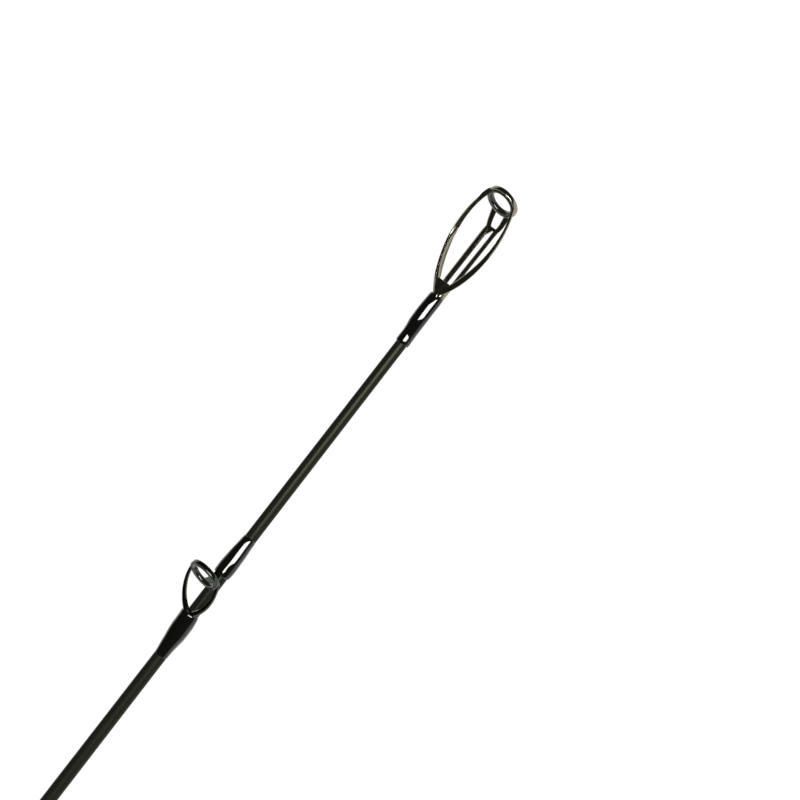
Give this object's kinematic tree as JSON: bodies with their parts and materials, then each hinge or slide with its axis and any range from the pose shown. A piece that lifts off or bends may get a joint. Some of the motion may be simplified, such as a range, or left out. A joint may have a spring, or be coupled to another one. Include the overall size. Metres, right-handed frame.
{
  "type": "casting rod",
  "caption": "Casting rod: tapered blank with leaning ring guides under thread wraps, reinforced tip-top, foam grips, trigger reel seat with sliding hood, folding hook keeper.",
  "frame": {"origin": "centre of the flat end of the butt cap", "axes": "+X along the rod to its tip, +Z the side of the guides and the reel, -Z the side of the trigger"},
  "size_m": [1.83, 0.03, 0.0645],
  "materials": {
    "carbon_blank": "satin",
    "black_frame": "polished",
    "dark_ceramic": "polished",
    "epoxy_wrap": "gloss",
    "foam_grip": "matte",
    "moulded_seat": "satin",
    "black_anodised": "satin",
    "steel_liner": "satin",
    "butt_rubber": "matte",
    "arbor_foam": "matte"
  },
  "bodies": {
    "rod": {"blank": "carbon_blank", "butt_cap": "butt_rubber", "butt_ring": "black_anodised", "butt_wrap": "epoxy_wrap", "fore_ring": "black_anodised", "foregrip": "foam_grip", "front_arbor": "arbor_foam", "front_check": "black_anodised", "guide_1_frame": "black_frame", "guide_1_front_wrap": "epoxy_wrap", "guide_1_rear_wrap": "epoxy_wrap", "guide_1_ring": "dark_ceramic", "guide_2_frame": "black_frame", "guide_2_front_wrap": "epoxy_wrap", "guide_2_rear_wrap": "epoxy_wrap", "guide_2_ring": "dark_ceramic", "guide_3_frame": "black_frame", "guide_3_front_wrap": "epoxy_wrap", "guide_3_rear_wrap": "epoxy_wrap", "guide_3_ring": "dark_ceramic", "guide_4_frame": "black_frame", "guide_4_front_wrap": "epoxy_wrap", "guide_4_rear_wrap": "epoxy_wrap", "guide_4_ring": "dark_ceramic", "guide_5_frame": "black_frame", "guide_5_front_wrap": "epoxy_wrap", "guide_5_rear_wrap": "epoxy_wrap", "guide_5_ring": "dark_ceramic", "guide_6_frame": "black_frame", "guide_6_front_wrap": "epoxy_wrap", "guide_6_rear_wrap": "epoxy_wrap", "guide_6_ring": "dark_ceramic", "guide_7_frame": "black_frame", "guide_7_front_wrap": "epoxy_wrap", "guide_7_rear_wrap": "epoxy_wrap", "guide_7_ring": "dark_ceramic", "keeper_base": "black_frame", "keeper_front_wrap": "epoxy_wrap", "keeper_rear_wrap": "epoxy_wrap", "middle_arbor": "arbor_foam", "rear_arbor": "arbor_foam", "rear_grip": "foam_grip", "rear_hood_liner": "steel_liner", "reel_seat": "moulded_seat", "seat_ring": "black_anodised", "tip_frame": "black_frame", "tip_ring": "dark_ceramic", "tip_tube": "black_frame", "tip_wrap": "epoxy_wrap"},
    "sliding_hood": {"sliding_hood": "moulded_seat", "front_hood_liner": "steel_liner"},
    "lock_nut": {"lock_nut": "black_anodised"},
    "keeper_loop": {"keeper_loop": "black_anodised"}
  },
  "joints": [
    {"name": "hood_slide", "type": "slide", "parent": "rod", "child": "sliding_hood", "axis": [-1, 0, 0], "range_m": [-0.005, 0.016]},
    {"name": "nut_turn", "type": "hinge", "parent": "sliding_hood", "child": "lock_nut", "pos_m": [0.3592, 0, 0], "axis": [-1, 0, 0], "range_deg": [-899, 2879]},
    {"name": "keeper_fold", "type": "hinge", "parent": "rod", "child": "keeper_loop", "pos_m": [0.4849, 0, 0.00661], "axis": [0, -1, 0], "range_deg": [0, 180]}
  ],
  "couplings": [
    {"joint": "hood_slide", "follows": "nut_turn", "m_per_rad": 0.0003183}
  ]
}
